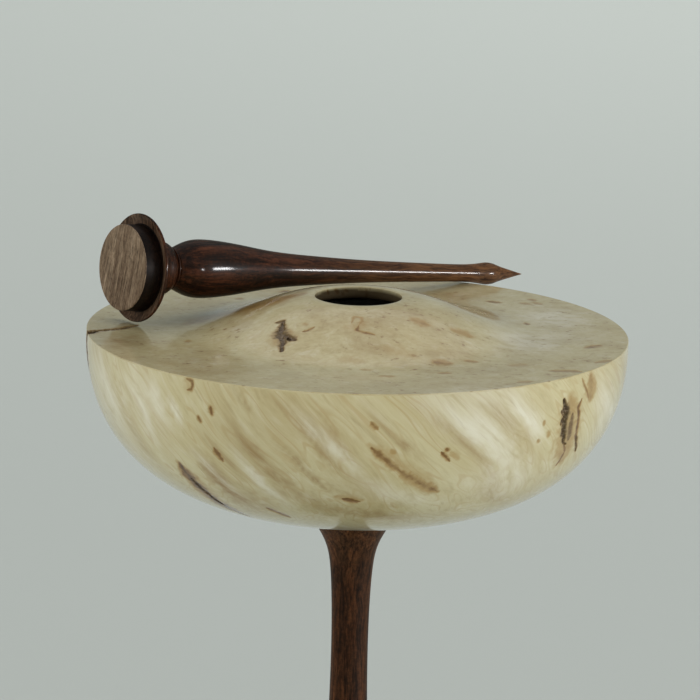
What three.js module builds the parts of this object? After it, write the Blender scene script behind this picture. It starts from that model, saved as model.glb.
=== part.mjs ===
// A turned wooden vessel with its lid: a hollow burl form on a slender pedestal, and a
// rosewood finial lid lying across its top. Millimetres, +Z up, origin at the centre of
// the foot's underside. The lid lies from the left front to the right back (+X is right).
import * as THREE from "three";

// Driving dimensions.
const RIM_RADIUS = 75;
const RIM_HEIGHT = 190;
const RIM_EASE = 0.5;
const BOWL_DEPTH = 50;
const WALL = 4;
const FLOOR_THICKNESS = 8;
const MOUTH_RADIUS = 12.2;
const STEM_HEAD_RADIUS = 13.4;
const STEM_WAIST_RADIUS = 5.16;
const FOOT_RADIUS = 42;
const FOOT_HEIGHT = 12;
const TENON_RADIUS = 4.5;
const TENON_LENGTH = 5;
const SPIGOT_RADIUS = 12;
const SPIGOT_DEPTH = 4.8;
const FLANGE_RADIUS = 15.1;
const CAP_LENGTH = 11;
const LID_TENON_RADIUS = 2.7;
const LID_TENON_LENGTH = 7.5;
const FINIAL_LENGTH = 133;
const GLUE_GAP = 0.3;

// Where the lid lies: the centre of its flange, the direction of its tip and its slope.
const LID_PLACE = new THREE.Vector3(-61.65, 5, RIM_HEIGHT + 15.4);
const LID_TURN = THREE.MathUtils.degToRad(34.5);
const LID_SLOPE = THREE.MathUtils.degToRad(-6.45);

const COARSE = 40;
const FINE = 24;

const point = (radius, height) => new THREE.Vector2(radius, height);
const fromPairs = (pairs) => pairs.map(([radius, height]) => point(radius, height));

// A smooth outline through a few points, as evenly spaced steps.
function smooth(pairs, steps) {
  return new THREE.SplineCurve(fromPairs(pairs)).getPoints(steps);
}

// A solid turned about +Z from a closed or axis-to-axis outline that runs anticlockwise.
function turned(outline, segments) {
  return new THREE.LatheGeometry(outline, segments).rotateX(Math.PI / 2);
}

function wood(color, roughness) {
  return new THREE.MeshStandardMaterial({ color, roughness, metalness: 0 });
}

function piece(name, outline, segments, material) {
  const mesh = new THREE.Mesh(turned(outline, segments), material);
  mesh.name = name;
  return mesh;
}

// Heights of the vessel are measured from the plane of its rim.
// The bowl's outer side, from the stem's seat up to the rim.
const bowlSide = new THREE.CubicBezierCurve(
  point(STEM_HEAD_RADIUS, -BOWL_DEPTH),
  point(70.3, -49),
  point(75.7, -14.9),
  point(RIM_RADIUS, -RIM_EASE),
);

// The top: a flat ring that sweeps up into a low cone around the mouth.
function topOutline(steps) {
  const cone = [[60, 0], [50, 0.1], [44, 0.8], [37, 2.9], [28, 6.3], [20, 8.9], [15.5, 9.9], [13.4, 9.8]];
  return smooth(cone, steps);
}

// The inside of the bowl keeps the wall's thickness and grows to the floor's at the stem.
function bowlInside(steps) {
  const inside = [];
  for (let step = 0; step < steps; step += 1) {
    const along = 0.93 * (1 - step / steps);
    const outer = bowlSide.getPoint(along);
    const tangent = bowlSide.getTangent(along);
    const thickness = WALL + (FLOOR_THICKNESS - WALL) * (1 - along) ** 3;
    inside.push(point(outer.x - tangent.y * thickness, outer.y + tangent.x * thickness));
  }
  return inside;
}

function vesselOutline() {
  const top = topOutline(10);
  const underTop = top.slice(0, -2).map((p) => point(p.x, p.y - WALL)).reverse();
  return [
    point(0, -BOWL_DEPTH + TENON_LENGTH),
    point(TENON_RADIUS + GLUE_GAP, -BOWL_DEPTH + TENON_LENGTH),
    point(TENON_RADIUS + GLUE_GAP, -BOWL_DEPTH),
    ...bowlSide.getPoints(12),
    point(RIM_RADIUS - 0.15, -0.15),
    point(RIM_RADIUS - RIM_EASE, 0),
    ...top,
    point(MOUTH_RADIUS, 9.2),
    point(MOUTH_RADIUS, 6.4),
    ...underTop,
    ...bowlInside(8),
    point(0, -BOWL_DEPTH + FLOOR_THICKNESS),
  ];
}

// The pedestal: a head that flares into the bowl, a long waist and a spread lower end.
function stemOutline() {
  const head = RIM_HEIGHT - BOWL_DEPTH - GLUE_GAP;
  const shoulder = FOOT_HEIGHT + GLUE_GAP;
  const side = [
    [9.6, shoulder + 4], [7.6, 26], [6.3, 48], [5.5, 78], [STEM_WAIST_RADIUS, 102.5], [5.5, 116],
    [6.3, 125.2], [7.4, 129.7], [9.5, 133.7], [STEM_HEAD_RADIUS, head],
  ];
  return [
    point(0, shoulder - TENON_LENGTH),
    point(TENON_RADIUS - GLUE_GAP, shoulder - TENON_LENGTH),
    point(TENON_RADIUS - GLUE_GAP, shoulder),
    point(10.2, shoulder),
    point(11, shoulder + 1.2),
    point(10.6, shoulder + 2.6),
    point(9.7, shoulder + 3.2),
    ...smooth(side, 15),
    point(TENON_RADIUS, head),
    point(TENON_RADIUS, head + TENON_LENGTH - GLUE_GAP),
    point(0, head + TENON_LENGTH - GLUE_GAP),
  ];
}

// The foot: a thin disc with an ogee that climbs to the stem's socket.
function footOutline() {
  const ogee = [[FOOT_RADIUS - 0.5, 3.8], [38, 4.9], [30, 5.5], [21, 6.9], [15, 9.6], [12.5, FOOT_HEIGHT]];
  return [
    point(0, 0),
    point(FOOT_RADIUS - 1.2, 0),
    point(FOOT_RADIUS, 1.2),
    point(FOOT_RADIUS, 2.8),
    ...smooth(ogee, 8),
    point(TENON_RADIUS, FOOT_HEIGHT),
    point(TENON_RADIUS, FOOT_HEIGHT - TENON_LENGTH - GLUE_GAP),
    point(0, FOOT_HEIGHT - TENON_LENGTH - GLUE_GAP),
  ];
}

// Lengths of the lid are measured from its flange's edge towards the tip.
// The cap: a spigot that drops into the mouth, a thin dished flange and a small round neck.
function capOutline() {
  const back = [[14.9, 0.9], [12.4, 1.8], [9.9, 3.1], [8.3, 5], [7.7, 7.2], [6.9, 9], [5.4, CAP_LENGTH]];
  return [
    point(0, -SPIGOT_DEPTH),
    point(SPIGOT_RADIUS - 0.4, -SPIGOT_DEPTH),
    point(SPIGOT_RADIUS, -SPIGOT_DEPTH + 0.4),
    point(SPIGOT_RADIUS, 0.9),
    point(13.6, 0.5),
    point(FLANGE_RADIUS - 0.1, 0),
    point(FLANGE_RADIUS, 0.4),
    ...smooth(back, 8),
    point(LID_TENON_RADIUS + GLUE_GAP, CAP_LENGTH),
    point(LID_TENON_RADIUS + GLUE_GAP, CAP_LENGTH - LID_TENON_LENGTH),
    point(0, CAP_LENGTH - LID_TENON_LENGTH),
  ];
}

// The finial: a bulb, a long taper, a small swell and a sharp point, on its own tenon.
function finialOutline() {
  const start = CAP_LENGTH + GLUE_GAP;
  const side = [
    [5.3, start], [6.7, 14], [7.9, 17.6], [8.2, 22], [7.6, 28.8], [6.3, 38], [4.8, 50], [3.9, 63],
    [3.2, 78], [2.75, 94], [2.55, 106], [2.68, 114.5], [3.14, 120.5],
  ];
  return [
    point(0, start - LID_TENON_LENGTH),
    point(LID_TENON_RADIUS, start - LID_TENON_LENGTH),
    point(LID_TENON_RADIUS, start),
    ...smooth(side, 18),
    point(2.1, 124.9),
    point(1.1, 128.7),
    point(0, FINIAL_LENGTH),
  ];
}

function makeLid(rosewood) {
  const tip = new THREE.Vector3(
    Math.cos(LID_TURN) * Math.cos(LID_SLOPE),
    Math.sin(LID_TURN) * Math.cos(LID_SLOPE),
    Math.sin(LID_SLOPE),
  );
  const lid = new THREE.Group();
  lid.position.copy(LID_PLACE);
  lid.quaternion.setFromUnitVectors(new THREE.Vector3(0, 0, 1), tip);
  lid.add(piece("lid_cap", capOutline(), FINE, rosewood));
  lid.add(piece("finial", finialOutline(), FINE, rosewood));
  return lid;
}

function makeVessel() {
  const burl = wood(0xb4a884, 0.35);
  const rosewood = wood(0x4a2f22, 0.3);
  const vessel = piece("vessel", vesselOutline(), COARSE, burl);
  vessel.position.z = RIM_HEIGHT;
  const object = new THREE.Group();
  object.add(vessel);
  object.add(piece("stem", stemOutline(), FINE, rosewood));
  object.add(piece("foot", footOutline(), COARSE, rosewood));
  object.add(makeLid(rosewood));
  return object;
}

export default makeVessel();
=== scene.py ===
# The looks of a turned burl vessel on a rosewood pedestal, with its finial lid lying across
# its top. Outlines are in millimetres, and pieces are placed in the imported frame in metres.
import math
import random

import bmesh
import bpy
import numpy as np
from mathutils import Matrix, Vector, noise


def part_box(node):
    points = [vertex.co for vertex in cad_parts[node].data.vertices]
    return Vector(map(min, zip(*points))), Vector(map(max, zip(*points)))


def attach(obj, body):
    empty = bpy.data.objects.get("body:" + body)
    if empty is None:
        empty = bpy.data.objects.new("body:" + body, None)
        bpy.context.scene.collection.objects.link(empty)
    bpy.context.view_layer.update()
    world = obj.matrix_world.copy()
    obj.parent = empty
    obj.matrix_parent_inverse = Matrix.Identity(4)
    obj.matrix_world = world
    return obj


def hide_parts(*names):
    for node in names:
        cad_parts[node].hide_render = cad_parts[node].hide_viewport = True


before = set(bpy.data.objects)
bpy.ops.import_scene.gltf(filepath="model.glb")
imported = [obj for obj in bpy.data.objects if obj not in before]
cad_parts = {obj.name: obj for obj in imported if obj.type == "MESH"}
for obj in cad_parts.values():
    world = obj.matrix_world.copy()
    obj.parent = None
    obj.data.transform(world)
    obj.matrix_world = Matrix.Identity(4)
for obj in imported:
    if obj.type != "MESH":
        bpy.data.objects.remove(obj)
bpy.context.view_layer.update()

MM = 0.001

# Driving dimensions, in millimetres.
BOWL_DEPTH = 50.0
RIM_RADIUS = 75.0
RIM_EASE = 0.5
MOUTH_RADIUS = 12.2
WALL = 4.0
FLOOR_THICKNESS = 8.0
STEM_HEAD_RADIUS = 13.4
TENON_RADIUS = 4.5
SOCKET_DEPTH = 5.0
SPIGOT_RADIUS = 12.0
SPIGOT_DEPTH = 4.8
FLANGE_RADIUS = 15.1
CAP_LENGTH = 11.0
LID_TENON_RADIUS = 2.7
LID_TENON_LENGTH = 7.5
FINIAL_LENGTH = 133.0
GLUE_GAP = 0.3

# How far corners are rounded off, and how far above the rim the throat begins.
EDGE_EASE = 0.3
FINE_EASE = 0.2
THROAT_TOP = 9.9

# Places that come from the frame, in millimetres.
SEAT_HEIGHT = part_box("vessel")[0].z / MM
RIM_HEIGHT = SEAT_HEIGHT + BOWL_DEPTH
FOOT_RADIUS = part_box("foot")[1].x / MM
FOOT_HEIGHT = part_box("foot")[1].z / MM

# The lid: its flange's centre from the rim's centre, and the direction of its tip.
LID_CENTRE = Vector((-61.65, 5.0, 15.4))
LID_TURN = math.radians(34.5)
LID_SLOPE = math.radians(-6.45)

BODY = "vessel_on_pedestal"
LID = "lid"


# ---------------------------------------------------------------- outlines

def cubic(start, pull_start, pull_end, end, steps):
    """A Bezier curve as evenly timed points."""
    t = np.linspace(0, 1, steps + 1)[:, None]
    ends = (1 - t) ** 3 * np.array(start) + t ** 3 * np.array(end)
    pulls = 3 * t * (1 - t) ** 2 * np.array(pull_start) + 3 * t * t * (1 - t) * np.array(pull_end)
    return ends + pulls


def smooth(points, steps):
    """A natural cubic spline through the points, with its steps evenly spread."""
    p = np.array(points, float)
    gaps = np.hypot(*np.diff(p, axis=0).T)
    t = np.concatenate([[0], np.cumsum(gaps)])
    count = len(p)
    system = np.eye(count)
    right = np.zeros_like(p)
    for i in range(1, count - 1):
        before, after = gaps[i - 1], gaps[i]
        system[i, i - 1:i + 2] = before, 2 * (before + after), after
        right[i] = 6 * ((p[i + 1] - p[i]) / after - (p[i] - p[i - 1]) / before)
    bend = np.linalg.solve(system, right)
    s = np.linspace(0, t[-1], steps + 1)
    k = np.clip(np.searchsorted(t, s) - 1, 0, count - 2)
    h = gaps[k][:, None]
    a = (t[k + 1] - s)[:, None]
    b = (s - t[k])[:, None]
    curve = (bend[k] * a ** 3 + bend[k + 1] * b ** 3) / (6 * h)
    return curve + (p[k] / h - bend[k] * h / 6) * a + (p[k + 1] / h - bend[k + 1] * h / 6) * b


def eased(points, ease, steps=4):
    """A polyline whose inner corners are rounded off over the given distance."""
    p = [np.array(q, float) for q in points]
    line = [p[0]]
    for before, corner, after in zip(p, p[1:], p[2:]):
        into = before - corner
        out = after - corner
        reach = min(ease, 0.45 * np.hypot(*into), 0.45 * np.hypot(*out))
        a = corner + into / np.hypot(*into) * reach
        b = corner + out / np.hypot(*out) * reach
        for t in np.linspace(0, 1, steps + 1):
            line.append((1 - t) ** 2 * a + 2 * t * (1 - t) * corner + t * t * b)
    line.append(p[-1])
    return np.array(line)


def straight(start, end, steps):
    return np.linspace(start, end, steps + 1)


def join(*stretches):
    """One outline from several stretches, without doubled points."""
    line = [tuple(q) for stretch in stretches for q in stretch]
    kept = [line[0]]
    for q in line[1:]:
        if math.dist(q, kept[-1]) > 0.01:
            kept.append(q)
    return np.array(kept)


def bowl_side(steps):
    """The bowl's outer side, from the stem's seat up to the rim. Heights are from the rim."""
    seat = (STEM_HEAD_RADIUS, -BOWL_DEPTH)
    rim = (RIM_RADIUS, -RIM_EASE)
    return cubic(seat, (70.3, -49), (75.7, -14.9), rim, steps)


def bowl_inside(steps):
    """The inside keeps the wall's thickness and grows to the floor's at the stem."""
    fine = 400
    outer = bowl_side(fine)
    inside = []
    for along in np.linspace(0.93, 0.04, steps):
        k = int(along * fine)
        tangent = outer[k] - outer[k - 1]
        tangent = tangent / np.hypot(*tangent)
        thickness = WALL + (FLOOR_THICKNESS - WALL) * (1 - along) ** 3
        inside.append(outer[k] + thickness * np.array([-tangent[1], tangent[0]]))
    return inside


def top_cone(steps):
    """The top, from the flat ring over the cove and the low cone to the mouth's lip."""
    cone = [(60, 0), (51, 0.02), (46, 0.35), (42, 1.15), (36, 3.2), (28, 6.3), (21, 8.7), (16.5, 9.75)]
    return smooth(cone, steps)


def vessel_outline():
    """The vessel: the stem's socket, the bowl, the top, the mouth and the hollow inside."""
    socket = TENON_RADIUS + GLUE_GAP
    socket_top = -BOWL_DEPTH + SOCKET_DEPTH
    seat = eased([(0, socket_top), (socket, socket_top), (socket, -BOWL_DEPTH),
                  (STEM_HEAD_RADIUS, -BOWL_DEPTH)], EDGE_EASE)
    side = bowl_side(100)
    rim = eased([side[-1], (RIM_RADIUS, 0), (RIM_RADIUS - RIM_EASE, 0)], RIM_EASE, 5)
    ring = straight((RIM_RADIUS - RIM_EASE, 0), (60, 0), 14)
    cone = top_cone(44)
    bore = MOUTH_RADIUS - 0.15
    crest = cubic(cone[-1], (15.2, 9.98), (13.8, 10.15), (12.9, 10.1), 8)
    lip = eased([crest[-1], (bore, 10.05), (bore, 8.8)], EDGE_EASE)
    throat = cubic(lip[-1], (bore, 7.6), (bore, 6.5), (14.5, 6.2), 12)
    ceiling = [(r, z - WALL) for r, z in cone[::-3]]
    floor = [(0, -BOWL_DEPTH + FLOOR_THICKNESS)]
    return join(seat, side, rim, ring, cone, crest, lip, throat, ceiling, bowl_inside(30), floor)


def stem_outline():
    """The pedestal's stem, in heights above the table."""
    head = SEAT_HEIGHT - GLUE_GAP
    head_tenon_end = head + SOCKET_DEPTH - GLUE_GAP
    shoulder = FOOT_HEIGHT + GLUE_GAP
    foot_tenon = TENON_RADIUS - GLUE_GAP
    foot_tenon_end = shoulder - SOCKET_DEPTH
    bead_foot = (9.9, shoulder)
    bead_top = (9.9, shoulder + 3)
    neck_top = (9.4, shoulder + 4.2)
    side = [
        neck_top, (7.6, 26), (6.3, 48), (5.5, 78), (5.16, 102.5), (5.5, 116),
        (6.0, 123), (6.75, 127.5), (7.8, 130.5), (9.5, 133.7), (11.6, 137), (STEM_HEAD_RADIUS, head),
    ]
    bottom = eased([(0, foot_tenon_end), (foot_tenon, foot_tenon_end), (foot_tenon, shoulder),
                    bead_foot], EDGE_EASE)
    bead = cubic(bead_foot, (11.6, shoulder), (11.6, shoulder + 2.8), bead_top, 12)
    fillet = eased([bead_top, (neck_top[0], bead_top[1]), neck_top], FINE_EASE)
    top = eased([(STEM_HEAD_RADIUS, head), (TENON_RADIUS, head), (TENON_RADIUS, head_tenon_end),
                 (0, head_tenon_end)], EDGE_EASE)
    return join(bottom, bead, fillet, smooth(side, 110), top)


def foot_outline():
    """The foot: a rounded edge, a small step and an ogee that climbs to the stem's socket."""
    socket_floor = FOOT_HEIGHT - SOCKET_DEPTH - GLUE_GAP
    edge_bottom = (FOOT_RADIUS, 1.2)
    edge_top = (FOOT_RADIUS - 1.6, 3.8)
    step_top = (FOOT_RADIUS - 2.4, 4.5)
    boss_bottom = (12.6, 11.3)
    under = eased([(0, 0), (FOOT_RADIUS - 1, 0), edge_bottom], 0.5)
    edge = cubic(edge_bottom, (FOOT_RADIUS + 0.05, 2.6), (FOOT_RADIUS - 0.2, 3.6), edge_top, 12)
    step = eased([edge_top, (FOOT_RADIUS - 2.2, edge_top[1]), step_top], FINE_EASE)
    ogee = smooth([step_top, (36, 5.1), (29, 5.6), (21, 7.1), (15.5, 9.6), boss_bottom], 44)
    boss = eased([boss_bottom, (12.4, FOOT_HEIGHT), (TENON_RADIUS, FOOT_HEIGHT),
                  (TENON_RADIUS, socket_floor), (0, socket_floor)], EDGE_EASE)
    return join(under, edge, step, ogee, boss)


def cap_outline():
    """The lid's cap, in lengths from its flange's edge towards the tip."""
    spigot = eased([(0, -SPIGOT_DEPTH - 0.1), (9, -SPIGOT_DEPTH - 0.06), (SPIGOT_RADIUS, -SPIGOT_DEPTH),
                    (SPIGOT_RADIUS, 0.9), (13.4, 0.62), (FLANGE_RADIUS - 0.25, 0)], 0.35)
    edge_back = (14.7, 0.95)
    neck = (5.5, 10.15)
    end = (5.4, CAP_LENGTH)
    edge = cubic(spigot[-1], (FLANGE_RADIUS + 0.08, -0.05), (FLANGE_RADIUS + 0.1, 0.8), edge_back, 8)
    back = smooth([edge_back, (12.4, 1.7), (10.1, 3.0), (8.5, 4.8), (7.8, 6.3), (7.6, 7.5), (7.2, 8.6),
                   (6.4, 9.6), neck], 40)
    bead = cubic(neck, (6.35, 10.2), (6.35, 10.95), end, 10)
    bore = LID_TENON_RADIUS + GLUE_GAP
    depth = CAP_LENGTH - LID_TENON_LENGTH
    socket = eased([end, (bore, CAP_LENGTH), (bore, depth), (0, depth)], FINE_EASE)
    return join(spigot, edge, back, bead, socket)


def finial_outline():
    """The finial, in lengths from the flange's edge: bulb, long taper, swell and point."""
    start = CAP_LENGTH + GLUE_GAP
    neck = (5.3, start)
    tenon_end = start - LID_TENON_LENGTH
    swell = (2.95, 122.2)
    side = [
        neck, (5.75, 12.2), (6.3, 13.1), (6.75, 14.1), (7.25, 15.3), (7.85, 17.2), (8.18, 19.5),
        (8.2, 22), (7.65, 28.6), (6.68, 35.5), (5.61, 42.4), (4.84, 49.3), (4.1, 60), (3.55, 70),
        (3.02, 84), (2.72, 97.5), (2.55, 107), (2.66, 114.5), (3.0, 118), (3.2, 120.4), swell,
    ]
    sharp_end = (0.12, FINIAL_LENGTH - 0.15)
    point = smooth([swell, (2.1, 124.9), (1.15, 128.6), (0.35, 131.8), sharp_end], 26)
    tenon = eased([(0, tenon_end), (LID_TENON_RADIUS, tenon_end), (LID_TENON_RADIUS, start), neck],
                  FINE_EASE)
    return join(tenon, smooth(side, 190), point, [(0, FINIAL_LENGTH)])


# ---------------------------------------------------------------- turned meshes

def turned(name, outline, segments, centre=(0, 0, 0)):
    """A closed mesh turned about its own Z from an outline that starts and ends on the axis."""
    rows = outline[1:-1]
    turn = np.linspace(0, 2 * math.pi, segments, endpoint=False)
    ring = np.stack([np.cos(turn), np.sin(turn)], -1)
    body = np.empty((len(rows), segments, 3))
    body[:, :, :2] = rows[:, None, :1] * ring[None]
    body[:, :, 2] = rows[:, 1:]
    first = len(rows) * segments
    poles = np.array([(0, 0, outline[0][1]), (0, 0, outline[-1][1])])
    points = (np.concatenate([body.reshape(-1, 3), poles]) + np.array(centre)) * MM
    near = np.arange(segments)
    far = np.roll(near, -1)
    faces = []
    for row in range(len(rows) - 1):
        low = row * segments
        high = low + segments
        faces.extend(np.stack([low + near, low + far, high + far, high + near], -1).tolist())
    last = first - segments
    faces.extend(np.stack([np.full(segments, first), far, near], -1).tolist())
    faces.extend(np.stack([np.full(segments, first + 1), last + near, last + far], -1).tolist())
    mesh = bpy.data.meshes.new(name)
    mesh.from_pydata(points.tolist(), [], faces)
    mesh.shade_smooth()
    piece = bpy.data.objects.new(name, mesh)
    bpy.context.scene.collection.objects.link(piece)
    return piece


def stand_for(piece, node, body, slot, *materials):
    """The piece takes the CAD node's place, rides on its body and wears the materials."""
    for material in materials:
        piece.data.materials.append(material)
    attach(piece, body)
    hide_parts(node)
    return piece


def lid_matrix():
    """The lid's own axes: X level across it, Y up, Z towards its tip."""
    tip = Vector((
        math.cos(LID_TURN) * math.cos(LID_SLOPE),
        math.sin(LID_TURN) * math.cos(LID_SLOPE),
        math.sin(LID_SLOPE),
    ))
    level = Vector((0, 0, 1)).cross(tip).normalized()
    axes = Matrix((level, tip.cross(level), tip)).transposed().to_4x4()
    place = LID_CENTRE + Vector((0, 0, RIM_HEIGHT))
    return Matrix.Translation(place * MM) @ axes


# ---------------------------------------------------------------- marks in the burl

# Each mark is a path on the surface, in degrees and millimetres: (angle, radius) on the top,
# (angle, depth below the rim) on the side and (angle, depth below the lip) in the mouth.
# Angle -90 faces the front. A half width follows, then a depth for a crack, or a tone.
CRACKS = [
    ("top", [(179, 61), (-176.5, 65.5), (-174.5, 71), (-173, 75)], 0.8, 1.8),
    ("top", [(-174.5, 72.5), (-171.5, 74.8)], 1.2, 1.6),
    ("side", [(-173.4, 0), (-174, 7), (-174.6, 15), (-175.2, 25), (-175.2, 37)], 2.3, 0.9),
    ("top", [(-137, 28.2), (-132.5, 30.5), (-126, 34.5), (-120.8, 40)], 0.9, 0.55),
    ("top", [(-132.5, 31), (-127, 34.5)], 1.6, 0.6),
    ("top", [(-128, 32.6), (-124, 33.6), (-119.4, 34.2)], 1.1, 0.5),
    ("top", [(-124.8, 33.2), (-122.8, 34.3)], 0.6, 0.9),
    ("top", [(-141, 28.8), (-138, 27.4), (-135.5, 28.2)], 0.55, 0.3),
    ("side", [(-41.8, 6.2), (-40.9, 8.5), (-40, 10.2), (-40.6, 12.5), (-40, 15.7), (-38.8, 19)], 0.95, 0.8),
    ("side", [(-42, 9.3), (-40.3, 10.6), (-41.6, 13)], 0.9, 0.5),
    ("side", [(-38.8, 19.2), (-37.4, 19.9)], 0.4, 0.5),
    ("side", [(-38.2, 11), (-37.9, 15), (-37.2, 18.6)], 0.9, 0.02),
    ("side", [(-132, 31), (-130.6, 35), (-129, 39.5)], 0.8, 0.4),
    ("side", [(-34.4, 18), (-33.4, 20.4), (-31.4, 23.4)], 0.45, 0.35),
]
# Streaks at least this wide are soft enough for a mesh that isn't refined.
SOFT_WIDTH = 2.5
STREAKS = [
    ("side", [(-173, 0.5), (-174, 10), (-175, 20), (-176, 34)], 3.8, 1.2),
    ("side", [(-133.3, 26.5), (-132, 31), (-130.8, 35), (-129, 39.5), (-126, 43)], 2.4, 1.1),
    ("side", [(-86.5, 15), (-83.5, 18.5), (-80, 22)], 1.1, 0.82),
    ("side", [(-80.5, 21.5), (-76.5, 25), (-73, 27.5), (-70.5, 29)], 1.7, 0.7),
    ("side", [(-76, 25.3), (-74.5, 26.5)], 0.7, 0.75),
    ("side", [(-72, 28), (-70.8, 28.8)], 0.8, 0.8),
    ("side", [(-87, 14), (-80, 20.5), (-72, 27)], 2.4, 0.32),
    ("side", [(-113, 37), (-110.5, 38.5), (-108, 40)], 0.9, 0.95),
    ("side", [(-92.5, 31.2), (-90.5, 31.8), (-88.5, 32)], 0.9, 0.95),
    ("side", [(-94, 30.5), (-88, 31.5)], 1.8, 0.4),
    ("side", [(-121.2, 19), (-119.8, 22.5)], 0.85, 0.95),
    ("side", [(-121, 7.3), (-120.8, 8.9)], 0.85, 0.95),
    ("side", [(-124.2, 10.6), (-123.8, 11.6)], 0.7, 0.8),
    ("side", [(-127, 0.6), (-125.6, 0.9), (-125.4, 2.2), (-125.8, 3.2), (-126.8, 3.6)], 0.6, 0.85),
    ("side", [(-127, 0.4), (-126.5, 2), (-126.5, 3.8)], 1.6, 0.3),
    ("side", [(-86.8, 7.6), (-85.4, 9.6)], 0.7, 0.75),
    ("side", [(-82.3, 15.8), (-81.7, 16.4)], 0.8, 0.5),
    ("side", [(-71.6, 16.6), (-69.4, 19.5)], 0.6, 0.95),
    ("side", [(-70.5, 15.9), (-70.3, 16.2)], 0.65, 0.85),
    ("side", [(-69.5, 17), (-67.5, 19)], 1.1, 0.35),
    ("side", [(-39.6, 6), (-38.8, 13), (-38, 19), (-36, 25)], 4.4, 0.54),
    ("side", [(-35.6, 7.2), (-36.5, 9.5), (-35.6, 12.3), (-35.1, 16.2), (-34.6, 18.2), (-33.2, 20.8)],
     0.7, 1.0),
    ("side", [(-38.2, 20), (-36.7, 22.2), (-36.8, 24), (-37.2, 26.4)], 0.65, 0.95),
    ("side", [(-40.3, 20.5), (-37.5, 24), (-37.5, 27)], 1.8, 0.3),
    ("side", [(-36, 1.4), (-35.1, 3.4), (-33.6, 5.8), (-32.7, 8.2)], 0.5, 0.7),
    ("side", [(-32.5, 1.5), (-31.9, 5.2), (-32.4, 8)], 2.2, 0.62),
    ("side", [(-47.1, 11.3), (-47, 11.8)], 0.6, 0.65),
    ("side", [(-45.1, 14.7), (-45, 15.5)], 0.9, 0.5),
    ("side", [(-47.8, 16.4), (-47.5, 16.9)], 0.6, 0.6),
    ("top", [(-119.6, 30.1), (-117.7, 29.5), (-115.5, 27.4)], 0.55, 0.8),
    ("top", [(-123, 26.4), (-121, 27)], 0.8, 0.4),
    ("top", [(-89.5, 25.2), (-90.3, 27.3), (-87.1, 28.2), (-81, 29.4)], 0.6, 0.8),
    ("top", [(-94, 24), (-92.8, 20.8), (-87.4, 21), (-87.1, 23), (-89.5, 25.2)], 0.55, 0.55),
    ("top", [(-96, 26), (-90, 26), (-86, 24)], 2.2, 0.3),
    ("top", [(-134, 31), (-128, 35), (-122, 37)], 2.6, 0.4),
    ("top", [(-127, 31), (-120, 34.5)], 1.6, 0.45),
    # Painted shadow and reflection of the finial's bulb: a brown band on the cone's left slope.
    ("top", [(176, 47), (169, 42), (170, 36), (175, 29), (179, 22), (174, 16)], 4.5, 0.62),
    ("top", [(-141, 28.6), (-137.5, 28.4)], 0.6, 0.7),
    ("top", [(-49.5, 24), (-46, 26.5)], 1.9, 0.6),
    ("top", [(-32, 32), (-29, 35)], 2.3, 0.5),
    ("top", [(-61, 43.7), (-57.5, 45.5)], 2.0, 0.68),
    ("top", [(-49, 45.7), (-47.3, 47)], 1.2, 0.62),
    ("top", [(-64.8, 53.1), (-62.7, 53.9)], 1.2, 0.6),
    ("top", [(-11.5, 64.4), (-8.2, 67.2)], 1.5, 0.75),
    ("top", [(-39, 67), (-36.6, 70), (-35, 73.5)], 1.6, 0.62),
    ("top", [(-25.5, 72), (-21.5, 74.2)], 1.3, 0.55),
    ("top", [(-41, 56), (-38.5, 57.4)], 2.1, 0.4),
    ("top", [(-52.5, 71.2), (-50, 72.3)], 1.3, 0.5),
    ("top", [(42.6, 67.8), (44.2, 68.6)], 1.2, 0.6),
    ("top", [(-83, 53.6), (-79.8, 54.3)], 1.4, 0.45),
    ("top", [(-88, 47), (-86, 47.5)], 1.1, 0.4),
    ("top", [(-96, 41), (-88, 41.5)], 2.6, 0.26),
    ("top", [(-76, 36), (-68, 39)], 3.4, 0.3),
    ("top", [(-160, 49.2), (-158.2, 50)], 1.1, 0.5),
    ("mouth", [(136, 0.5), (134, 1.3)], 0.5, 0.75),
    ("mouth", [(122, 0.6), (119, 1.3)], 0.6, 0.8),
    ("mouth", [(108, 0.8), (104, 1.2)], 0.5, 0.75),
]
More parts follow.
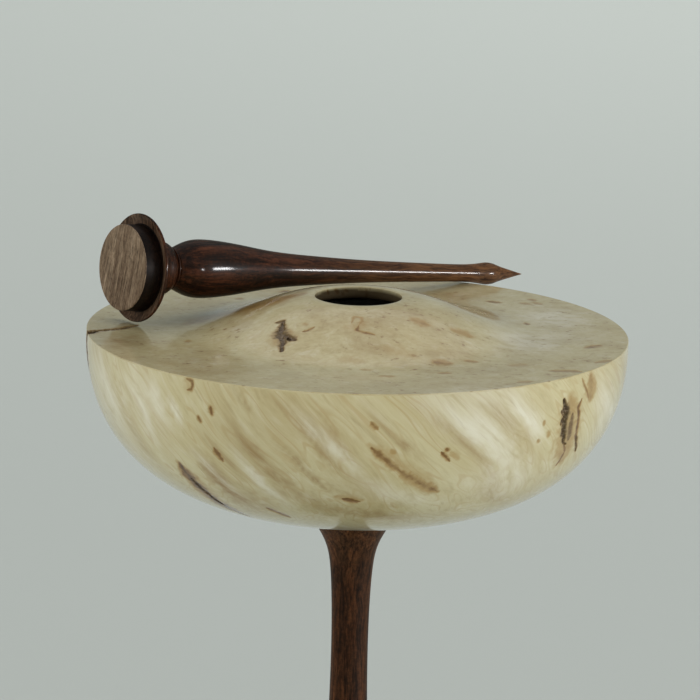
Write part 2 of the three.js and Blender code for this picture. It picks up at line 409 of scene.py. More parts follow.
# Soft bands of the figure, and some of painted light and shade: a path, a half width and a tone, darker
# below zero, paler above.
FIGURE_AND_PAINTED_LIGHT = [
    ("side", [(-108, 1), (-104.5, 5), (-101, 9.5), (-98.5, 14), (-96, 18), (-92.5, 22.5), (-88, 26)],
     1.1, -0.8),
    ("side", [(-118, 9), (-115, 14), (-111.5, 19), (-108, 24.5), (-104.5, 29), (-100, 32.5)], 2.8, -0.75),
    ("side", [(-107, 14), (-103, 19), (-99.5, 24), (-95.5, 29)], 0.8, -0.9),
    ("side", [(-103.5, 16), (-98, 24.5)], 0.6, -0.6),
    ("side", [(-115, 0.5), (-113, 4.5), (-111, 8)], 0.8, -0.6),
    ("side", [(-89, 1.5), (-86.5, 5.5), (-82.5, 11), (-78, 16), (-73, 21.5)], 1.0, -0.6),
    ("side", [(-79.5, 0.5), (-76, 4.5), (-70.5, 10.5), (-65.5, 15.5), (-60, 22), (-55.5, 28.5), (-49.5, 35)],
     1.3, -0.5),
    ("side", [(-65, 0.5), (-60.5, 5), (-56, 11), (-51, 16.5), (-47.5, 23)], 1.6, -0.45),
    ("side", [(-98, 3), (-95, 10), (-92, 15.5), (-88.5, 21)], 0.9, -0.6),
    ("side", [(-125.5, 23), (-123.5, 28), (-121, 33.5), (-119, 39)], 2.8, -1.0),
    ("side", [(-106, 30), (-96, 35), (-80, 38), (-66, 38.5)], 2.8, -0.6),
    ("side", [(-124, 14), (-121.5, 18), (-117.5, 23.5), (-115.5, 28)], 1.3, -0.55),
    ("side", [(-60, 28), (-53, 34), (-44, 37)], 2.0, -0.45),
    ("side", [(-150, 12), (-146, 22), (-142, 32)], 2.4, -0.35),
    ("side", [(-137.5, 3), (-135.5, 8.5), (-133.5, 15)], 2.2, 0.7),
    ("side", [(-132.5, 6), (-130, 10.5), (-129, 14)], 1.0, 1.0),
    ("side", [(-143, 4.5), (-140, 12), (-138.5, 21.5)], 1.3, 0.7),
    ("side", [(-160, 2), (-155, 10), (-151, 20)], 3.0, 0.5),
    ("side", [(-76, 0.5), (-70.5, 6), (-63.5, 11.5), (-56.5, 18.5), (-49, 26.5)], 3.6, 0.9),
    ("side", [(-58.5, 0.5), (-55.5, 4), (-50.5, 10.5), (-47, 16.5)], 2.0, 1.0),
    ("side", [(-117, 18), (-113.5, 24), (-110, 30), (-106, 35)], 1.3, 0.8),
    ("side", [(-102, 4.5), (-98, 10.5), (-93.5, 16.5), (-88.5, 22)], 1.6, 0.7),
    ("side", [(-128, 20.5), (-125, 24), (-122, 29), (-119, 34)], 1.2, 0.7),
    ("side", [(-90, 24), (-80, 30), (-68, 33)], 2.2, 0.5),
    ("side", [(-30, 2), (-24, 12), (-20, 22)], 4.0, 0.6),
    ("side", [(-165, 3), (-158, 12), (-152, 22), (-150, 32)], 7.0, 0.4),
    ("side", [(-148, 2), (-141, 10), (-135, 20)], 6.0, 0.4),
    ("side", [(-72, 1), (-62, 5), (-50, 9)], 6.0, 0.55),
    ("side", [(-66, 25), (-54, 28), (-43, 28)], 6.0, 0.5),
    ("side", [(-122, 30), (-116, 35), (-110, 38)], 5.0, -0.6),
    # Painted shade: the middle of the bowl's front darker, as the lamps at the sides leave it; the next band
    # too.
    ("side", [(-102, 25), (-91, 28), (-80, 30)], 6.0, -0.25),
    ("side", [(-120, 9), (-102, 9), (-82, 9)], 8.0, -0.22),
    # Painted light: a pale band low round the bowl, as if lit from below.
    ("side", [(-150, 45), (-110, 46), (-70, 46), (-30, 45)], 6.0, 0.9),
    # Painted reflection of the lid's cap: a dark patch on the ring at the left.
    ("top", [(-170, 71), (-163, 66), (-156, 62)], 6.0, -0.5),
    ("top", [(-162, 35), (-148, 34)], 3.5, 0.4),
    ("top", [(-66, 38), (-50, 42), (-38, 46)], 7.0, -0.38),
    # Painted shadow and reflection of the finial's bulb on the cone's left slope; the next band too.
    ("top", [(176, 47), (169, 42), (170, 36), (175, 29), (179, 22), (174, 16)], 5.5, -1.0),
    ("top", [(-176, 37), (-170, 30), (-166, 23)], 4.0, -0.4),
    ("top", [(-125, 20), (-106, 22), (-90, 24), (-60, 23), (-36, 24)], 7.0, -0.44),
    ("top", [(-100, 35), (-84, 35), (-70, 37)], 4.0, -0.42),
    ("top", [(-56, 16), (-44, 20), (-33, 24)], 2.5, -0.35),
    # Painted reflection of the finial's tip on the ring behind the cone.
    ("top", [(66, 58), (60, 56), (55, 57)], 4.0, -0.5),
    # Painted reflection: a pale sheen on the right of the top.
    ("top", [(-24, 44), (-4, 50), (0, 62)], 8.0, 0.85),
    ("top", [(-84, 70), (-60, 66), (-45, 62)], 8.0, -0.25),
    # Painted reflection: a pale sheen on the right of the top, further back.
    ("top", [(10, 56), (22, 60), (36, 60)], 8.0, 0.85),
]


def side_radius(depth):
    """The bowl's radius at a depth below the rim."""
    side = bowl_side(200)
    return float(np.interp(-depth, side[:, 1], side[:, 0]))


def top_height(radius):
    """The top's height above the rim at a radius."""
    cone = top_cone(80)[::-1]
    return float(np.interp(radius, cone[:, 0], cone[:, 1]))


def surface_point(where, degrees, reach):
    """A place on the surface, in millimetres from the centre of the rim."""
    if where == "top":
        radius, height = reach, top_height(reach)
    elif where == "side":
        radius, height = side_radius(reach), -reach
    else:
        radius, height = MOUTH_RADIUS, THROAT_TOP - reach
    angle = math.radians(degrees)
    return radius * math.cos(angle), radius * math.sin(angle), height


def mark_path(where, path):
    """A mark's path as points, with steps short enough to follow the round surface."""
    points = [surface_point(where, *path[0])]
    for (angle, reach), (next_angle, next_reach) in zip(path, path[1:]):
        turn = (next_angle - angle + 180) % 360 - 180
        steps = max(1, math.ceil(abs(turn) / 6))
        for t in np.linspace(0, 1, steps + 1)[1:]:
            points.append(surface_point(where, angle + t * turn, reach + t * (next_reach - reach)))
    return np.array(points)


def path_distance(points, path, limit):
    """The points within the limit of the path: their indices, distances and places along it.

    A place along the path goes from 0 to 1.
    """
    inside = np.all((points > path.min(0) - limit) & (points < path.max(0) + limit), axis=1)
    chosen = np.flatnonzero(inside)
    near = points[chosen]
    best = np.full(len(near), 1e9)
    along = np.zeros(len(near))
    stretches = len(path) - 1
    for i in range(stretches):
        run = path[i + 1] - path[i]
        t = np.clip((near - path[i]) @ run / (run @ run), 0, 1)
        gap = np.linalg.norm(near - path[i] - t[:, None] * run, axis=1)
        closer = gap < best
        best[closer] = gap[closer]
        along[closer] = (i + t[closer]) / stretches
    kept = best < limit
    return chosen[kept], best[kept], along[kept]


def hidden_side_streaks(draw):
    """More small eyes and streaks round the back, as the same burl would have."""
    marks = []
    for _ in range(34):
        angle = draw.uniform(5, 172)
        if draw.random() < 0.5:
            reach = draw.uniform(22, 71)
            end = (angle + draw.uniform(1, 3), reach + draw.uniform(-1.2, 1.2))
            marks.append(("top", [(angle, reach), end], draw.uniform(0.7, 1.3), draw.uniform(0.4, 0.8)))
        else:
            reach = draw.uniform(3, 40)
            drop = draw.uniform(1, 4)
            end = (angle + 0.7 * drop, reach + drop)
            marks.append(("side", [(angle, reach), end], draw.uniform(0.4, 1.0), draw.uniform(0.6, 1.0)))
    return marks


def hidden_side_figure(draw):
    """Bands round the back that climb the bowl as the front ones do."""
    bands = []
    for angle in np.arange(-22, 182, 6.5):
        start = draw.uniform(0.5, 14)
        length = draw.uniform(12, 26)
        lean = draw.uniform(0.65, 0.9)
        path = [(angle + lean * k * length / 4, start + k * length / 4) for k in range(5)]
        tone = draw.choice((-1, 1)) * draw.uniform(0.45, 0.9)
        bands.append(("side", path, draw.uniform(0.9, 3.0), tone))
    return bands


def rough_edge(points, amount=1.0):
    """An uneven shift of a mark's edge, in parts of its width."""
    return amount * np.array([
        0.5 * noise.noise(Vector(q) * 0.6) + 0.3 * noise.noise(Vector(q) * 1.3) for q in points
    ])


def narrowing(path, width, along, ends):
    """The share of its width that a mark keeps along its path. A short mark stays round."""
    length = np.linalg.norm(np.diff(path, axis=0), axis=1).sum()
    pointed = min(1, length / (4 * width))
    return 1 - pointed * (1 - np.clip(3.5 * np.minimum(along, 1 - along) + ends, 0, 1))


def refine(piece, marks):
    """Cuts the mesh finer and finer near the marks, down to about a fifth of a millimetre."""
    mesh = bmesh.new()
    mesh.from_mesh(piece.data)
    for reach in (2.2, 1.1, 0.5):
        middles = np.array([(e.verts[0].co + e.verts[1].co) / 2 for e in mesh.edges]) / MM
        middles[:, 2] -= RIM_HEIGHT
        near = np.zeros(len(middles), bool)
        for where, path, width, _ in marks:
            close, _, _ = path_distance(middles, mark_path(where, path), 1.5 * width + reach)
            near[close] = True
        mesh.edges.ensure_lookup_table()
        chosen = [mesh.edges[i] for i in np.flatnonzero(near)]
        bmesh.ops.subdivide_edges(mesh, edges=chosen, cuts=1, use_grid_fill=True)
    mesh.to_mesh(piece.data)
    mesh.free()


def bell(share, steepness):
    """One in the middle of a mark, fading to nothing over a few of its widths."""
    return np.exp(-steepness * np.clip(share, 0, 9) ** 2)


def keep_most(values, near, new):
    """Raises the values at the near points to the new ones where those are larger."""
    values[near] = np.maximum(values[near], new)


def add_cracks(local, tones, sink):
    """Cracks: sunk cores, dark inside and brown around."""
    for where, path, width, depth in CRACKS:
        track = mark_path(where, path)
        near, gap, along = path_distance(local, track, 4 * width + 1)
        share = gap / (width * narrowing(track, width, along, 0.45)) + rough_edge(local[near])
        core = np.clip(1.25 - share, 0, 1)
        keep_most(sink, near, depth * core * core * (3 - 2 * core))
        keep_most(tones["dark"], near, min(1, 0.4 + 0.55 * depth) * np.clip(1.7 - share, 0, 1))
        keep_most(tones["brown"], near, 0.8 * bell(share, 0.35))


def add_streaks(streaks, local, tones, sink):
    """Brown streaks and eyes, which lie a hair below the surface."""
    for where, path, width, tone in streaks:
        track = mark_path(where, path)
        near, gap, along = path_distance(local, track, 3.5 * width + 1)
        share = gap / (width * narrowing(track, width, along, 0.4)) + rough_edge(local[near], 0.75)
        keep_most(sink, near, 0.1 * tone * np.clip(1.3 - share, 0, 1))
        keep_most(tones["brown"], near, tone * bell(share, 0.7))


def add_figure_and_painted_light(bands, local, tones):
    """Soft bands, where each one covers a share of what the others leave."""
    for where, path, width, tone in bands:
        near, gap, along = path_distance(local, mark_path(where, path), 3 * width)
        taper = np.clip(3 * np.minimum(along, 1 - along), 0, 1)
        share = gap / width + rough_edge(local[near] * 0.5, 0.8)
        soft = abs(tone) * bell(share, 0.8) * (0.25 + 0.75 * taper)
        name = "pale" if tone > 0 else "tan"
        tones[name][near] = 1 - (1 - tones[name][near]) * (1 - soft)


def inside_share(local, normals):
    """Where shade is painted: which points are inside the hollow, and how deep in the throat the others are,
    0 to 1.
    """
    radius = np.hypot(local[:, 0], local[:, 1])
    outward = np.einsum("ij,ij->i", normals[:, :2], local[:, :2]) / np.maximum(radius, 1)
    wall = (outward < -0.25) & (radius > MOUTH_RADIUS + 0.3)
    ceiling = (normals[:, 2] < -0.3) & (local[:, 2] > -WALL)
    throat = np.clip(THROAT_TOP + 0.3 - local[:, 2], 0, 1)
    throat = throat * (radius < MOUTH_RADIUS + 0.6) * (local[:, 2] > 0)
    return wall | ceiling, throat


def carve_marks(piece):
    """Sinks the cracks into the surface and stores the tones of the burl, and the painted shade of the
    hollow and the throat, at each point.
    """
    draw = random.Random(11)
    streaks = STREAKS + hidden_side_streaks(draw)
    bands = FIGURE_AND_PAINTED_LIGHT + hidden_side_figure(draw)
    refine(piece, CRACKS + [mark for mark in streaks if mark[2] < SOFT_WIDTH])
    mesh = piece.data
    count = len(mesh.vertices)
    points = np.empty(count * 3)
    mesh.vertices.foreach_get("co", points)
    points = points.reshape(-1, 3)
    normals = np.array([v.normal for v in mesh.vertices])
    local = points / MM - np.array([0, 0, RIM_HEIGHT])
    tones = {name: np.zeros(count) for name in ("dark", "brown", "tan", "pale")}
    sink = np.zeros(count)
    add_cracks(local, tones, sink)
    add_streaks(streaks, local, tones, sink)
    add_figure_and_painted_light(bands, local, tones)
    hollow, throat = inside_share(local, normals)
    sink[hollow] = 0
    points = points - normals * sink[:, None] * MM
    mesh.vertices.foreach_set("co", points.ravel())
    # Painted shade: the hollow inside is dark, and the throat grows darker the deeper it goes.
    tones["inner"] = np.maximum(hollow, throat)
    for name, values in tones.items():
        store = mesh.attributes.new(name, "FLOAT", "POINT")
        store.data.foreach_set("value", values.astype(np.float32))
    mesh.update()


# ---------------------------------------------------------------- materials

def linear(red, green, blue):
    """An sRGB colour, 0 to 255, as the linear colour that shaders take."""
    def one(value):
        value /= 255
        return value / 12.92 if value <= 0.04045 else ((value + 0.055) / 1.055) ** 2.4
    return one(red), one(green), one(blue), 1.0


class Shader:
    """One material's nodes, built by short calls."""

    def __init__(self, name):
        self.material = bpy.data.materials.new(name)
        self.material.use_nodes = True
        self.tree = self.material.node_tree
        self.tree.nodes.clear()

    def node(self, kind, inputs, output=0, **settings):
        """Adds a node. An input is a value or another node's output."""
        made = self.tree.nodes.new(kind)
        for key, value in settings.items():
            setattr(made, key, value)
        for key, value in inputs.items():
            if isinstance(value, bpy.types.NodeSocket):
                self.tree.links.new(value, made.inputs[key])
            else:
                made.inputs[key].default_value = value
        return made.outputs[output] if made.outputs else None

    def maths(self, operation, *values):
        return self.node("ShaderNodeMath", dict(enumerate(values)), operation=operation)

    def place(self, vector, scale=(1, 1, 1), turn=(0, 0, 0), shift=(0, 0, 0)):
        inputs = {"Vector": vector, "Scale": scale, "Rotation": turn, "Location": shift}
        return self.node("ShaderNodeMapping", inputs)

    def millimetres(self, lift=0.0):
        """The piece's own coordinates in millimetres, lifted along its Z."""
        place = self.node("ShaderNodeTexCoord", {}, 3)
        return self.place(place, scale=(1 / MM, 1 / MM, 1 / MM), shift=(0, 0, lift))

    def height(self, vector):
        """The vector's Z."""
        return self.node("ShaderNodeSeparateXYZ", {0: vector}, 2)

    def bend(self, vector, reach, scale):
        """The vector, carried off by a slow wander of the given reach."""
        wander = self.noise(vector, scale, 2.0, 0.5, output=1)
        shift = self.node("ShaderNodeVectorMath", {0: wander, 1: (reach,) * 3}, operation="MULTIPLY")
        return self.node("ShaderNodeVectorMath", {0: vector, 1: shift}, operation="ADD")

    def noise(self, vector, scale=1.0, detail=4.0, rough=0.55, warp=0.0, output=0):
        inputs = {"Vector": vector, "Scale": scale, "Detail": detail, "Roughness": rough}
        inputs["Distortion"] = warp
        return self.node("ShaderNodeTexNoise", inputs, output)

    def spread(self, value, low, high, to_low=0.0, to_high=1.0):
        """The value's stretch from low to high, spread over the new range."""
        inputs = {0: value, 1: low, 2: high, 3: to_low, 4: to_high}
        return self.node("ShaderNodeMapRange", inputs, interpolation_type="SMOOTHSTEP")

    def ramp(self, value, stops):
        made = self.tree.nodes.new("ShaderNodeValToRGB")
        self.tree.links.new(value, made.inputs[0])
        elements = made.color_ramp.elements
        while len(elements) < len(stops):
            elements.new(0.5)
        for element, (at, colour) in zip(elements, stops):
            element.position = at
            element.color = colour
        return made.outputs[0]

    def tone(self, name):
        """One of the values that the mesh stores at its points."""
        return self.node("ShaderNodeAttribute", {}, 2, attribute_name=name)

    def blend(self, share, first, second, how="MIX"):
        """Two colours, mixed or multiplied. A Mix node's sockets 6 and 7 are its colours."""
        inputs = {0: share, 6: first, 7: second}
        return self.node("ShaderNodeMix", inputs, 2, data_type="RGBA", blend_type=how)

    def finish(self, bump_height=None, bump_depth=0.0, **inputs):
        """Ends in a Principled shader, with an optional bump given in metres."""
        named = {key.replace("_", " "): value for key, value in inputs.items()}
        if bump_height is not None:
            bump = {"Height": bump_height, "Strength": 1.0, "Distance": bump_depth}
            named["Normal"] = self.node("ShaderNodeBump", bump)
        surface = self.node("ShaderNodeBsdfPrincipled", named)
        self.node("ShaderNodeOutputMaterial", {"Surface": surface})
        return self.material


BURL_TAN = linear(152, 128, 84)

# The colours of the bark, and how dark a face is where it lies bare in a crack.
BARK = [(0.36, linear(38, 27, 17)), (0.52, linear(74, 59, 41)), (0.68, linear(128, 112, 90))]
BARE_BARK = 0.85


def bark():
    """The dry, unlacquered inside of the cracks."""
    s = Shader("crack_bark")
    mm = s.millimetres()
    speck = s.noise(mm, 1.3, 3.0, 0.6)
    return s.finish(
        speck, 0.0001, Base_Color=s.ramp(speck, BARK), Roughness=0.9, Specular_IOR_Level=0.1)


def burl_grain(s, mm):
    """The grain's own coordinates, and 1 on the top and 0 on the bowl's side.

    The grain climbs round the bowl like threads of a steep screw, bent by a slow wander.
    """
    height = s.height(mm)
    bent = s.bend(mm, 14, 0.02)
    twist = s.maths("MULTIPLY", height, 0.0135)
    turned_mm = s.node("ShaderNodeVectorRotate", {"Vector": bent, "Axis": (0, 0, 1), "Angle": twist})
    side = s.place(turned_mm, scale=(1, 1, 0.2))
    top = s.place(bent, scale=(0.7, 0.9, 0.5))
    on_top = s.spread(height, -0.45, -0.15)
    # A Mix node's sockets 4 and 5 are its vectors.
    grain = s.node("ShaderNodeMix", {0: on_top, 4: side, 5: top}, 1, data_type="VECTOR")
    return grain, on_top


def burl_wood(s, grain, on_top, middle, fine):
    """The plain wood's colour, from cream to tan, with its lines and the stored soft bands of figure and of
    painted light and shade.
    """
    cream = linear(205, 195, 154)
    pale = linear(229, 224, 203)
    broad = s.noise(grain, 0.09, 3.0, 0.55, 0.5)
    colour = s.blend(s.spread(broad, 0.35, 0.68), linear(197, 184, 140), cream)
    colour = s.blend(s.spread(middle, 0.5, 0.75, 0.0, 0.28), colour, pale)
    colour = s.blend(s.spread(middle, 0.48, 0.26, 0.0, 0.26), colour, BURL_TAN)
    lines = s.ramp(fine, [(0.3, linear(216, 204, 176)), (0.6, linear(255, 255, 255))])
    colour = s.blend(s.spread(on_top, 0.0, 1.0, 0.14, 0.3), colour, lines, "MULTIPLY")

    # Thin golden lines that follow one another as growth rings do.
    rings = s.maths("SINE", s.maths("MULTIPLY", s.noise(grain, 0.15, 1.0, 0.35), 52))
    thread = s.maths("MULTIPLY", s.spread(rings, 0.45, 1.0), s.spread(middle, 0.4, 0.6, 0.12, 0.5))
    thread = s.maths("MULTIPLY", thread, s.spread(on_top, 0.0, 1.0, 0.9, 0.4))
    colour = s.blend(thread, colour, linear(178, 150, 98))

    share = s.maths("MULTIPLY", s.tone("pale"), s.spread(middle, 0.3, 0.6, 0.45, 1.0))
    colour = s.blend(share, colour, pale)
    share = s.maths("MULTIPLY", s.tone("tan"), s.spread(middle, 0.3, 0.65, 1.0, 0.45))
    return s.blend(share, colour, linear(150, 119, 70))


def burl_flecks(s, colour, mm, grain, on_top):
    """Adds small brown flecks in patches, most of them on the top."""
    flecks = s.noise(grain, 0.6, 3.0, 0.6)
    patches = s.noise(mm, 0.06, 2.0, 0.5)
    clouds = s.maths("MULTIPLY", s.spread(patches, 0.46, 0.66, 0.0, 0.22), on_top)
    colour = s.blend(clouds, colour, BURL_TAN)
    amount = s.spread(patches, 0.4, 0.6, 0.2, 0.8)
    amount = s.maths("MULTIPLY", amount, s.spread(on_top, 0.0, 1.0, 0.3, 1.0))
    return s.blend(s.maths("MULTIPLY", s.spread(flecks, 0.58, 0.72), amount), colour, linear(136, 104, 62))


def burl_marks(s, colour, mm, speck, dark):
    """Adds the stored streaks and cracks, and paints shade into the hollow inside and down the throat."""
    blotch = s.noise(mm, 0.5, 2.0, 0.5)
    brown = s.maths("MULTIPLY", s.tone("brown"), s.spread(blotch, 0.3, 0.62, 0.84, 1.05))
    colour = s.blend(s.spread(brown, 0.05, 0.5, 0.0, 0.8), colour, linear(168, 137, 82))
    colour = s.blend(s.spread(brown, 0.42, 0.9, 0.0, 0.9), colour, linear(116, 80, 36))
    colour = s.blend(s.spread(brown, 0.88, 1.2, 0.0, 0.9), colour, linear(62, 38, 16))
    colour = s.blend(dark, colour, s.ramp(speck, BARK))
    # Painted shade in the hollow and down the throat.
    return s.blend(s.maths("MULTIPLY", s.tone("inner"), 0.94), colour, linear(54, 41, 27))


def burl():
    """Pale lacquered burl: soft slanting bands round the bowl, small level flecks on the top."""
    s = Shader("burl")
    mm = s.millimetres(-RIM_HEIGHT)
    grain, on_top = burl_grain(s, mm)
    middle = s.noise(grain, 0.32, 4.0, 0.6, 0.4)
    fine = s.noise(grain, 1.1, 3.0, 0.6)
    speck = s.noise(mm, 1.3, 3.0, 0.6)
    dark = s.tone("dark")
    colour = burl_wood(s, grain, on_top, middle, fine)
    colour = burl_flecks(s, colour, mm, grain, on_top)
    colour = burl_marks(s, colour, mm, speck, dark)
    rough = s.spread(dark, 0.2, 0.8, 0.4, 0.85)
    lift = s.maths("ADD", s.maths("MULTIPLY", fine, 0.25), s.maths("MULTIPLY", dark, speck))
    return s.finish(
        lift, 0.00005, Base_Color=colour, Roughness=rough, Specular_IOR_Level=0.15,
        Coat_Weight=1.0, Coat_Roughness=0.11, Coat_IOR=1.43)


# The rosewood's colours, as ramps from its darkest streaks to its lightest.
ROSEWOOD = {
    "polished": [(0.32, linear(20, 11, 6)), (0.45, linear(44, 24, 13)), (0.56, linear(72, 39, 21)),
                 (0.7, linear(92, 52, 33))],
    # Painted shade: a darker copy for the spigot's side, which lies in shade under the flange.
    "shaded": [(0.32, linear(10, 7, 5)), (0.5, linear(24, 15, 10)), (0.7, linear(40, 24, 15))],
    "reddish": [(0.32, linear(26, 16, 9)), (0.45, linear(54, 33, 19)), (0.56, linear(81, 49, 28)),
                (0.7, linear(112, 68, 40))],
    # Painted light: a lighter copy for the flange's front, as it looks where the light falls on it.
    "satin_and_painted_light": [(0.32, linear(48, 34, 26)), (0.5, linear(92, 71, 55)), (0.7, linear(126, 103, 83))],
    "bare": [(0.32, linear(87, 66, 51)), (0.5, linear(133, 112, 90)), (0.68, linear(162, 141, 117))],
}


def rosewood(name, grain=(1, 1, 0.07), turn=(0, 0, 0), kind="polished", coat=0.25, paler=None):
    """Dark rosewood with red-brown and near-black streaks and open pores along its grain.

    The colour grows paler along its own Z between the two heights in paler, in millimetres.
    """
    s = Shader(name)
    mm = s.millimetres()
    turned_mm = s.place(mm, turn=turn)
    along = s.place(s.bend(turned_mm, 4, 0.05), scale=grain)
    broad = s.noise(along, 0.3, 4.0, 0.65, 0.4)
    fine = s.noise(along, 1.5, 4.0, 0.7, 0.2)
    pores = s.noise(along, 3.2, 2.0, 0.5)
    mottle = s.noise(mm, 0.9, 3.0, 0.65)
    bare = kind == "bare"
    mixed = s.maths("ADD", s.maths("MULTIPLY", broad, 0.7), s.maths("MULTIPLY", mottle, 0.3))
    colour = s.ramp(mixed, ROSEWOOD[kind])
    streak = s.ramp(fine, [(0.36, linear(100, 92, 86)), (0.6, linear(255, 255, 255))])
    colour = s.blend(0.7 if bare else 0.85, colour, streak, "MULTIPLY")
    if paler:
        share = s.spread(s.height(mm), *paler, 0.0, 0.7)
        light = s.ramp(fine, [(0.34, linear(60, 36, 20)), (0.66, linear(140, 98, 62))])
        colour = s.blend(share, colour, light)
    pit = s.spread(pores, 0.34, 0.44, 1.0, 0.0) if bare else s.spread(pores, 0.3, 0.38, 1.0, 0.0)
    pit_colour = linear(52, 37, 28) if bare else linear(12, 7, 5)
    colour = s.blend(s.maths("MULTIPLY", pit, 0.6), colour, pit_colour)
    lift = s.maths("SUBTRACT", s.maths("MULTIPLY", fine, 0.3), s.maths("MULTIPLY", pit, 0.4))
    if bare:
        return s.finish(lift, 0.00008, Base_Color=colour, Roughness=0.7, Specular_IOR_Level=0.2)
    return s.finish(
        lift, 0.00002, Base_Color=colour, Roughness=0.5, Specular_IOR_Level=0.05,
        Coat_Weight=coat, Coat_Roughness=0.13, Coat_IOR=1.45)


# ---------------------------------------------------------------- stage, lights and camera

def stage():
    """A pale floor that sweeps up into a wall all round, well outside every view."""
    flat, rise, wall = 3.4, 1.6, 3.2
    bend = [(flat + rise * math.sin(a), rise - rise * math.cos(a)) for a in np.linspace(0, math.pi / 2, 24)]
    outline = [(r, 0.0) for r in np.linspace(0.2, flat, 12)] + bend + [(flat + rise, wall)]
    turn = np.linspace(0, 2 * math.pi, 96, endpoint=False)
    points = [(0, 0, 0)] + [(r * math.cos(a), r * math.sin(a), z) for r, z in outline for a in turn]
    count = len(turn)
    faces = [(0, 1 + i, 1 + (i + 1) % count) for i in range(count)]
    for row in range(len(outline) - 1):
        low = 1 + row * count
        for i in range(count):
            j = (i + 1) % count
            faces.append((low + i, low + count + i, low + count + j, low + j))
    mesh = bpy.data.meshes.new("floor")
    mesh.from_pydata(points, [], faces)
    mesh.shade_smooth()
    floor = bpy.data.objects.new("floor", mesh)
    bpy.context.scene.collection.objects.link(floor)
    s = Shader("floor_paper")
    mesh.materials.append(s.finish(Base_Color=linear(192, 198, 193), Roughness=0.95))


def lit_group(name, *pieces):
    """A collection of pieces that a lamp is kept to."""
    group = bpy.data.collections.new(name)
    for piece in pieces:
        group.objects.link(bpy.data.objects[piece])
    return group


def softbox(name, place, aim, width, height, power, group=None, glint=False):
    """A rectangular lamp. It lights every surface or one group, or only shows there as a glint."""
    light = bpy.data.lights.new(name, "AREA")
    light.shape = "RECTANGLE"
    light.size = width
    light.size_y = height
    light.energy = power
    lamp = bpy.data.objects.new(name, light)
    lamp.location = place
    lamp.rotation_euler = (Vector(aim) - Vector(place)).to_track_quat("-Z", "Y").to_euler()
    lamp.visible_camera = False
    lamp.visible_diffuse = not glint
    lamp.visible_glossy = glint
    if glint:
        light.cycles.max_bounces = 0
    if group:
        lamp.light_linking.receiver_collection = group
    bpy.context.scene.collection.objects.link(lamp)


def lights():
    """An even white tent, soft lamps at both sides and low in front, a wash behind, and glints."""
    centre = Vector((0, 0, RIM_HEIGHT * MM))
    polished = ("rosewood_stem", "rosewood_foot", "lid_cap_turned", "finial_spindle")
    shiny = lit_group("polished_rosewood", *polished)
    whole = lit_group("whole_object", "burl_vessel", *polished)
    softbox("right_softbox", centre + Vector((1.4, -0.7, 0.3)), centre, 0.7, 0.6, 13)
    softbox("left_softbox", centre + Vector((-1.5, -0.6, 0.3)), centre, 0.7, 0.6, 11.5)
    below = centre + Vector((0, 0, -0.05))
    softbox("low_softbox", centre + Vector((0.5, -1.3, -0.1)), below, 0.7, 0.14, 2.1, whole)
    softbox("back_softbox", Vector((0.5, 2.1, 1.8)), Vector((0.3, 1.9, 0)), 1.4, 0.9, 25)
    softbox("right_glint", centre + Vector((1.43, -0.44, 0.15)), centre, 0.42, 0.17, 27, shiny, glint=True)
    softbox("front_glint", centre + Vector((0.92, -1.17, 0.19)), centre, 0.13, 0.16, 5, shiny, glint=True)
    world = bpy.data.worlds.new("studio_air")
    world.use_nodes = True
    world.node_tree.nodes["Background"].inputs[0].default_value = (1, 1, 1, 1)
    world.node_tree.nodes["Background"].inputs[1].default_value = 0.52
    bpy.context.scene.world = world


def camera():
    """A long lens 1.5 m away, a little above the rim and rolled by a degree and a half."""
    distance, elevation = 1.5, math.radians(12.68)
    yaw, pitch, roll = math.radians(-0.077), math.radians(-12.877), math.radians(1.46)
    data = bpy.data.cameras.new("camera")
    data.sensor_width = 36
    data.lens = 278.64
    data.clip_end = 50
    eye = bpy.data.objects.new("camera", data)
    centre = Vector((0, 0, RIM_HEIGHT * MM))
    back = Vector((0, -math.cos(elevation), math.sin(elevation)))
    forward = Vector((math.sin(yaw) * math.cos(pitch), math.cos(yaw) * math.cos(pitch), math.sin(pitch)))
    right = Vector((math.cos(yaw), -math.sin(yaw), 0))
    up = right.cross(forward)
    right_rolled = math.cos(roll) * right + math.sin(roll) * up
    up_rolled = math.cos(roll) * up - math.sin(roll) * right
    axes = Matrix((right_rolled, up_rolled, -forward)).transposed().to_4x4()
    eye.matrix_world = Matrix.Translation(centre + distance * back) @ axes
    bpy.context.scene.collection.objects.link(eye)
    bpy.context.scene.camera = eye


# ---------------------------------------------------------------- the object

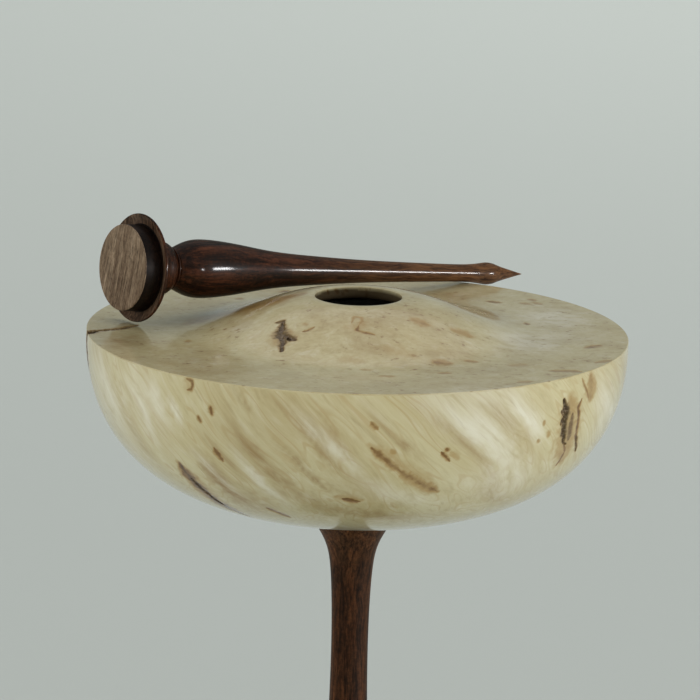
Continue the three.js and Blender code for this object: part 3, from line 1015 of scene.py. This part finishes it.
def make_vessel():
    """The burl vessel. Faces deep in a crack wear bare bark instead of lacquer."""
    piece = turned("burl_vessel", vessel_outline(), 360, centre=(0, 0, RIM_HEIGHT))
    carve_marks(piece)
    stand_for(piece, "vessel", BODY, "pale_burl", burl(), bark())
    darkness = np.array([value.value for value in piece.data.attributes["dark"].data])
    for face in piece.data.polygons:
        if darkness[list(face.vertices)].mean() > BARE_BARK:
            face.material_index = 1


def make_pedestal():
    """The stem, with its grain upright, and the foot, with its grain across."""
    stem = turned("rosewood_stem", stem_outline(), 96)
    reddish = rosewood("stem_rosewood", kind="reddish", coat=0.1, paler=(112, 172))
    stand_for(stem, "stem", BODY, "dark_rosewood", reddish)
    foot = turned("rosewood_foot", foot_outline(), 192)
    polished = rosewood("foot_rosewood", grain=(0.07, 1, 1), coat=0.15)
    stand_for(foot, "foot", BODY, "dark_rosewood", polished)


def make_lid():
    """The cap, whose face, spigot and flange differ in finish, with painted shade on the spigot's side and
    painted light on the flange's front, and the finial.
    """
    place = lid_matrix()
    cap = turned("lid_cap_turned", cap_outline(), 160)
    cap.matrix_world = place
    polished = rosewood("cap_rosewood", grain=(1, 0.07, 1))
    bare = rosewood("cap_face", grain=(1.5, 0.09, 1.5), turn=(0, 0, -0.12), kind="bare")
    # The spigot's side wears painted shade, and the flange's front wears painted light.
    shaded = rosewood("spigot_painted_shade", grain=(1, 0.07, 1), kind="shaded", coat=0.1)
    satin_and_painted_light = rosewood("flange_painted_light", grain=(1, 0.07, 1), kind="satin_and_painted_light", coat=0.1)
    stand_for(cap, "lid_cap", LID, "dark_rosewood", polished, bare, shaded, satin_and_painted_light)
    face_height = -SPIGOT_DEPTH + 0.3
    flange_front = 0.85
    for face in cap.data.polygons:
        reach = math.hypot(face.center.x, face.center.y) / MM
        height = face.center.z / MM
        if height < face_height:
            face.material_index = 1
        # Painted shade on the spigot's side.
        elif height < flange_front and reach < SPIGOT_RADIUS + 0.5:
            face.material_index = 2
        # Painted light on the flange's front.
        elif height < flange_front and reach < FLANGE_RADIUS - 0.4:
            face.material_index = 3
    finial = turned("finial_spindle", finial_outline(), 96)
    finial.matrix_world = place
    stand_for(finial, "finial", LID, "dark_rosewood", rosewood("finial_rosewood", paler=(40, 118)))


camera()
stage()
make_vessel()
make_pedestal()
make_lid()
lights()
bpy.context.scene.view_settings.view_transform = "Standard"
